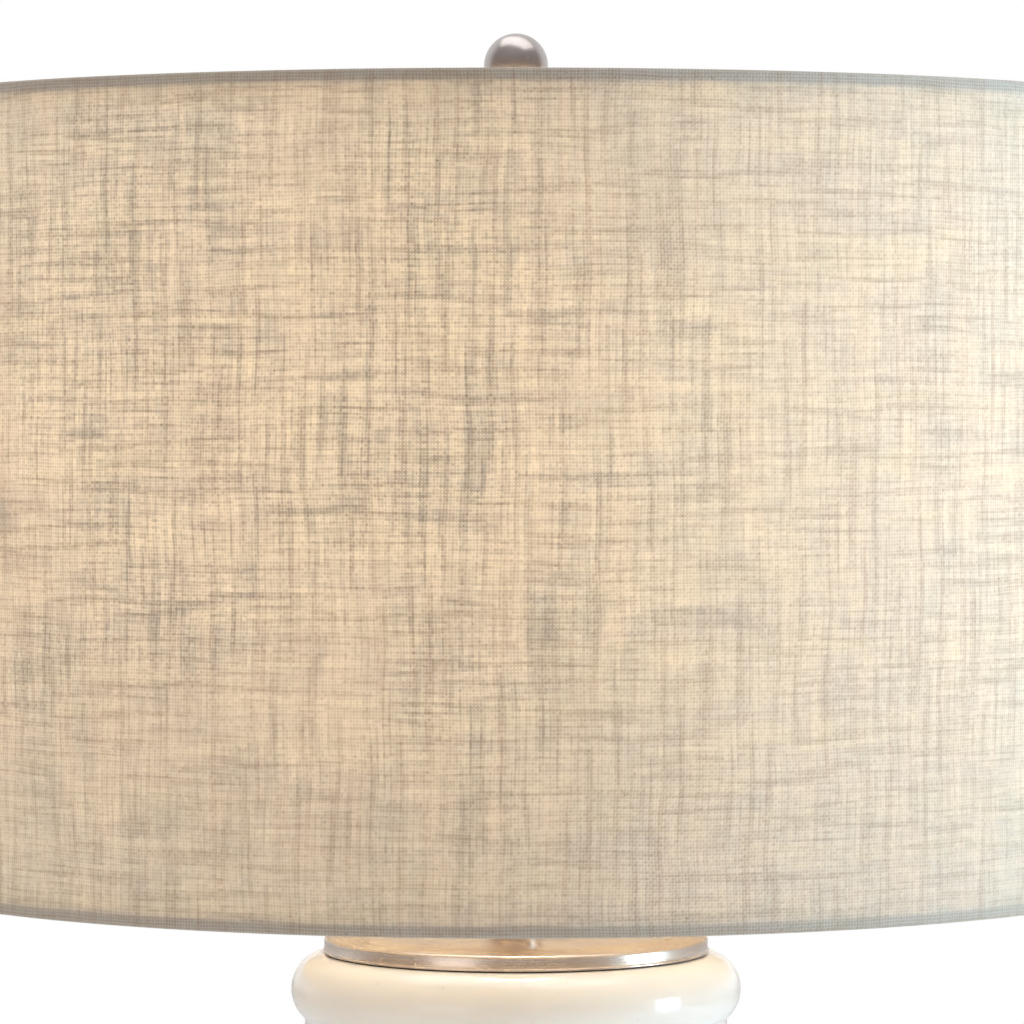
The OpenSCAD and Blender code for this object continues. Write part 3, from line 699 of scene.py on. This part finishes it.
def bulb_side(radius, neck_radius):
    """Half of the bulb's outline, from its neck to the top of its dome."""
    flare = (neck_radius + neck_flare, bulb_low.z + neck_rise)
    shoulder = (radius, dome_z - shoulder_drop * radius)
    side = curve_points((neck_radius, bulb_low.z), flare, shoulder, (radius, dome_z), 20)
    return side + arc_points(0.0, dome_z, radius, 0, 90, 16)[1:]


def shield(light, pieces):
    """Keeps one light's own rays off some pieces, as a black card does in a studio."""
    shaded = bpy.data.collections.new(light.name + " shielded")
    light.light_linking.receiver_collection = shaded
    for index, piece in enumerate(pieces):
        shaded.objects.link(piece)
        shaded.collection_objects[index].light_linking.link_state = "EXCLUDE"


bulb_outline = (
    bulb_side(bulb_radius, bulb_neck)
    + list(reversed(bulb_side(bulb_radius - glass_wall, bulb_neck - glass_wall)))
)
bulb = turned("frosted_bulb", bulb_outline, frosted_glass(), segments=64)
fit(bulb, "bulb", "frosted_glass", "bulb_glass")

# A round light just outside the lit glass sends out the rest of the bulb's light.
glow = bpy.data.lights.new("Bulb light", "POINT")
glow.shadow_soft_size = bulb_radius + glow_gap
glow.use_soft_falloff = False
glow.energy = 4.6
glow.color = (1.0, 0.76, 0.49)
bulb_light = bpy.data.objects.new("Bulb light", glow)
bpy.context.collection.objects.link(bulb_light)
bulb_light.location = (0.0, 0.0, dome_z)
bulb_light.visible_camera = False
shield(bulb_light, (vase, cap))

bulb_aluminium = plain_metal("rolled_aluminium", (0.82, 0.81, 0.79), (0.66, 0.64, 0.61), 0.30)
dress("bulb_cap", bulb_aluminium)
dress("bulb_tip", plain_metal("solder", (0.62, 0.61, 0.60), (0.45, 0.44, 0.43), 0.42))
dress("bulb_insulator", black_phenolic)
dress("bulb_stem", clear_glass())
dress("bulb_filament", plain_metal("tungsten_wire", (0.34, 0.32, 0.30), (0.22, 0.20, 0.19), 0.5, 2000.0))


# Shade frame --------------------------------------------------------------------------------
# Two rings of plated steel wire, and a spider of three wire arms soldered to the top ring
# and to a washer-like hub, which drops over the harp's stud.

for node in ("spider_hub", "spider_arms", "top_ring", "bottom_ring"):
    dress(node, bright_nickel)


# Shade cloth -----------------------------------------------------------------------------------
# Slubby natural linen laminated to a white styrene liner and rolled into a drum with a lapped
# seam at the back. Its edges are turned in over both rings and glued down inside.

yarn_pitch = 0.00118


def white_styrene():
    """Milky styrene sheet that scatters the bulb's light, slightly mottled."""
    made, graph = material("white_styrene")
    place = object_place(graph)
    mottle = graph.noise(place, 55.0, 4.0)
    tint = graph.blend(mottle, (0.80, 0.79, 0.76), (0.87, 0.86, 0.84))
    face = graph.node("ShaderNodeBsdfPrincipled", values={"Base Color": tint, "Roughness": 0.5})
    through = graph.node("ShaderNodeBsdfTranslucent", values={"Color": (0.88, 0.86, 0.81)})
    mixed = graph.node("ShaderNodeMixShader", values={0: 0.80 + 0.06 * mottle, 1: face, 2: through})
    graph.node("ShaderNodeOutputMaterial", values={"Surface": mixed})
    return made


def slub_linen(low_edge, high_edge, hem_depth):
    """Plain weave of uneven yarns: thick yarns and doubled hems stop the light, and gaps let it
    through. The same pattern is painted into its colour as painted shade and painted glow.
    """
    made, graph = material("slub_linen")
    cloth = graph.node("ShaderNodeUVMap", {"uv_map": "cloth"})
    split = graph.node("ShaderNodeSeparateXYZ", values={0: cloth})
    across = split.output("X")
    up = split.output("Y")
    lean = graph.noise(graph.stretch(cloth, (12.0, 20.0, 1.0)), 1.0, 2.0, dimensions="2D") - 0.5
    sway = graph.noise(graph.stretch(cloth, (14.0, 30.0, 1.0)), 1.7, 1.0, dimensions="2D") - 0.5
    warp = (across + 0.0032 * lean) / yarn_pitch
    weft = (up + 0.0016 * sway) / yarn_pitch
    warp_yarn = graph.maths("FLOOR", warp)
    weft_yarn = graph.maths("FLOOR", weft)

    def along_yarns(x, y):
        return graph.noise(graph.point(x, y), 1.0, 2.5, 0.55, "2D")

    warp_thick = graph.step(along_yarns(warp * 0.36, up * 14.0), 0.47, 0.68)
    weft_thick = graph.step(along_yarns(across * 22.0, weft * 0.36 + 71.0), 0.48, 0.69)
    warp_body = along_yarns(warp_yarn * 3.7, up * 30.0 + 7.0)
    weft_body = along_yarns(across * 40.0 + 3.0, weft_yarn * 3.7)
    warp_tone = along_yarns(warp_yarn * 0.10, up * 9.0 + 13.0)
    weft_tone = along_yarns(across * 11.0 + 5.0, weft_yarn * 0.10)
    crossing = along_yarns(warp_yarn * 2.7, weft_yarn * 2.7) - 0.5

    warp_side = graph.maths("ABSOLUTE", (warp % 1.0) - 0.5)
    weft_side = graph.maths("ABSOLUTE", (weft % 1.0) - 0.5)
    gap = graph.step(warp_side, 0.12, 0.46) * graph.step(weft_side, 0.12, 0.46)
    dense = graph.maths("MINIMUM", 0.8 * warp_thick + 0.8 * weft_thick, 1.0)
    body = (warp_body - 0.5) + (weft_body - 0.5)
    blocks = graph.step(warp_tone, 0.46, 0.53) + graph.step(weft_tone, 0.46, 0.53) - 1.0

    natural = graph.blend(0.5 * graph.step(warp_tone, 0.49, 0.56), (0.53, 0.49, 0.43), (0.53, 0.46, 0.40))
    natural = graph.blend(0.45 * graph.step(weft_tone, 0.50, 0.57), natural, (0.51, 0.48, 0.39))
    # Painted shade: thick yarns and some crossings are coloured darker where they block the glow.
    dark = graph.maths("MAXIMUM", 0.5 * dense - 0.4 * crossing + 0.4 * body, 0.0)
    slub_shade = graph.blend(dark, natural, (0.45, 0.35, 0.25))
    # Painted glow: gaps and some crossings are coloured paler where the light comes through.
    pale = graph.maths("MAXIMUM", 0.3 * gap + 0.5 * crossing - 0.3 * body, 0.0)
    gap_glow = graph.blend(pale, slub_shade, (0.80, 0.76, 0.68))
    from_edge = graph.maths("MINIMUM", up - low_edge, high_edge - up)
    hem = 1.0 - graph.step(from_edge, 0.8 * hem_depth, 1.2 * hem_depth)
    # Painted shade: the turned-in hems are coloured darker where the doubled cloth blocks the glow.
    hem_shade = graph.blend(0.4 * hem * (1.0 - gap), gap_glow, (0.25, 0.20, 0.155))
    fleck = graph.step(graph.noise(cloth, 560.0, 1.0, dimensions="2D"), 0.80, 0.84)
    tint = graph.blend(0.6 * fleck, hem_shade, (0.20, 0.15, 0.11))

    over = (warp_yarn + weft_yarn) % 2.0
    warp_top = (1.0 - 2.0 * warp_side) * (0.75 + 0.5 * warp_thick)
    weft_top = (1.0 - 2.0 * weft_side) * (0.75 + 0.5 * weft_thick)
    yarns = over * warp_top + (1.0 - over) * weft_top
    lie = relief(graph, yarns, 0.00016, 0.6)

    cloth_values = {"Base Color": tint, "Roughness": 0.88 - 0.08 * yarns, "Sheen Weight": 0.15,
                    "Sheen Roughness": 0.5, "Normal": lie}
    face = graph.node("ShaderNodeBsdfPrincipled", values=cloth_values)
    through = graph.node("ShaderNodeBsdfTranslucent", values={"Color": (1.0, 0.93, 0.82)})
    passing = 0.23 + 0.22 * gap - 0.13 * dense - 0.36 * body + 0.30 * crossing + 0.02 * blocks
    mixed = graph.node("ShaderNodeMixShader", values={0: passing * (1.0 - 0.8 * hem), 1: face, 2: through})
    graph.node("ShaderNodeOutputMaterial", values={"Surface": mixed})
    return made


def wrapped_cloth(graph, size):
    """A flat cloth whose rows follow a pattern line and whose columns run round the axis."""
    grid_values = {"Size X": size["Width"], "Size Y": 1.0, "Vertices X": size["Columns"],
                   "Vertices Y": size["Rows"]}
    cloth = graph.node("GeometryNodeMeshGrid", values=grid_values)
    along = graph.node("ShaderNodeSeparateXYZ", values={0: graph.node("GeometryNodeInputPosition")})
    row = graph.node("GeometryNodeInputIndex") % size["Rows"]
    line = graph.node("GeometryNodeObjectInfo", values={"Object": size["Section"]}, output="Geometry")
    corner = graph.node("GeometryNodeSampleIndex", {"data_type": "FLOAT_VECTOR"},
                        {"Geometry": line, "Value": graph.node("GeometryNodeInputPosition"), "Index": row})
    run = graph.node("GeometryNodeInputNamedAttribute", {"data_type": "FLOAT"}, {"Name": "run"})
    up = graph.node("GeometryNodeSampleIndex", {"data_type": "FLOAT"},
                    {"Geometry": line, "Value": run, "Index": row})
    section = graph.node("ShaderNodeSeparateXYZ", values={0: corner})
    turn = along / size["Radius"]
    lapped = graph.step(along, size["Lap start"], size["Lap start"] + size["Lap ramp"])
    swell = graph.noise(graph.point(along, up), size["Swell scale"], 2.0) - 0.5
    reach = section + size["Lap rise"] * lapped + size["Swell"] * swell
    place = graph.point(reach * graph.maths("SINE", turn), 0.0 - reach * graph.maths("COSINE", turn),
                        section.output("Z"))
    flat = graph.node("GeometryNodeFieldOnDomain", {"data_type": "FLOAT_VECTOR", "domain": "POINT"},
                      {0: graph.point(along, up)})
    marked = graph.node("GeometryNodeStoreNamedAttribute", {"data_type": "FLOAT2", "domain": "CORNER"},
                        {"Geometry": cloth, "Name": "cloth", "Value": flat})
    hung = graph.node("GeometryNodeSetPosition", values={"Geometry": marked, "Position": place})
    real = graph.node("GeometryNodeRealizeInstances", values={0: hung})
    return graph.node("GeometryNodeSetMaterial", values={"Geometry": real, "Material": size["Cloth"]})


dress("shade_liner", white_styrene())

edge_round = 0.0015
turned_in = 0.0065
ring_room = 0.0001
inner_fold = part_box("bottom_ring")[1].x - 2 * wire_radius - ring_room
outer_edge = shade_radius - edge_round
low_z = shade_low.z
high_z = shade_high.z
wall_steps = 84
wall_start = low_z + edge_round
wall_rise = (shade_height - 2 * edge_round) / wall_steps
shade_section = (
    [(inner_fold, low_z + turned_in), (inner_fold, low_z + 0.5 * turned_in)]
    + arc_points(inner_fold + edge_round, low_z + edge_round, edge_round, 180, 270, 6)
    + arc_points(outer_edge, low_z + edge_round, edge_round, 270, 360, 6)
    + [(shade_radius, wall_start + wall_rise * i) for i in range(1, wall_steps)]
    + arc_points(outer_edge, high_z - edge_round, edge_round, 0, 90, 6)
    + arc_points(inner_fold + edge_round, high_z - edge_round, edge_round, 90, 180, 6)
    + [(inner_fold, high_z - 0.5 * turned_in), (inner_fold, high_z - turned_in)]
)
section_line = pattern("section_line", [(r, 0.0, z) for r, z in shade_section], lengths=True)
cloth_length = sum(math.dist(a, b) for a, b in zip(shade_section, shade_section[1:]))
low_edge = (cloth_length - shade_height) / 2
high_edge = (cloth_length + shade_height) / 2
hem_depth = 0.0042
lap = 0.012
lap_ramp = 0.003
cloth_width = 2 * math.pi * shade_radius + lap
cloth_sizes = {
    "Width": cloth_width, "Columns": 760, "Rows": len(shade_section), "Radius": shade_radius,
    "Section": section_line, "Lap start": cloth_width / 2 - lap - lap_ramp, "Lap ramp": lap_ramp,
    "Lap rise": 0.0007, "Swell": 0.0005, "Swell scale": 26.0,
    "Cloth": slub_linen(low_edge, high_edge, hem_depth),
}
linen = grown("linen_drum", cloth_sizes, wrapped_cloth)
bpy.data.objects.remove(section_line)
linen.data.shade_smooth()
fit(linen, "shade", "linen", "shade_linen")


# Finial -----------------------------------------------------------------------------------------
# A turned ball on a small flanged collar, tapped to screw down on the harp's stud and hold
# the spider's hub. It is plated like the cap, but its colour is painted darker and greyer:
# a painted reflection of the dim room around it.

# Painted reflection: the finial's nickel is coloured darker and greyer than the cap's.
finial_nickel = spun_metal("finial_nickel", (0.50, 0.465, 0.455), (0.42, 0.38, 0.36), 0.24)
dress("finial_collar", finial_nickel)
dress("finial_ball", finial_nickel)
finial = (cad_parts["finial_collar"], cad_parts["finial_ball"])
shield(key_light, (*finial, vase))
shield(fill_light, finial)
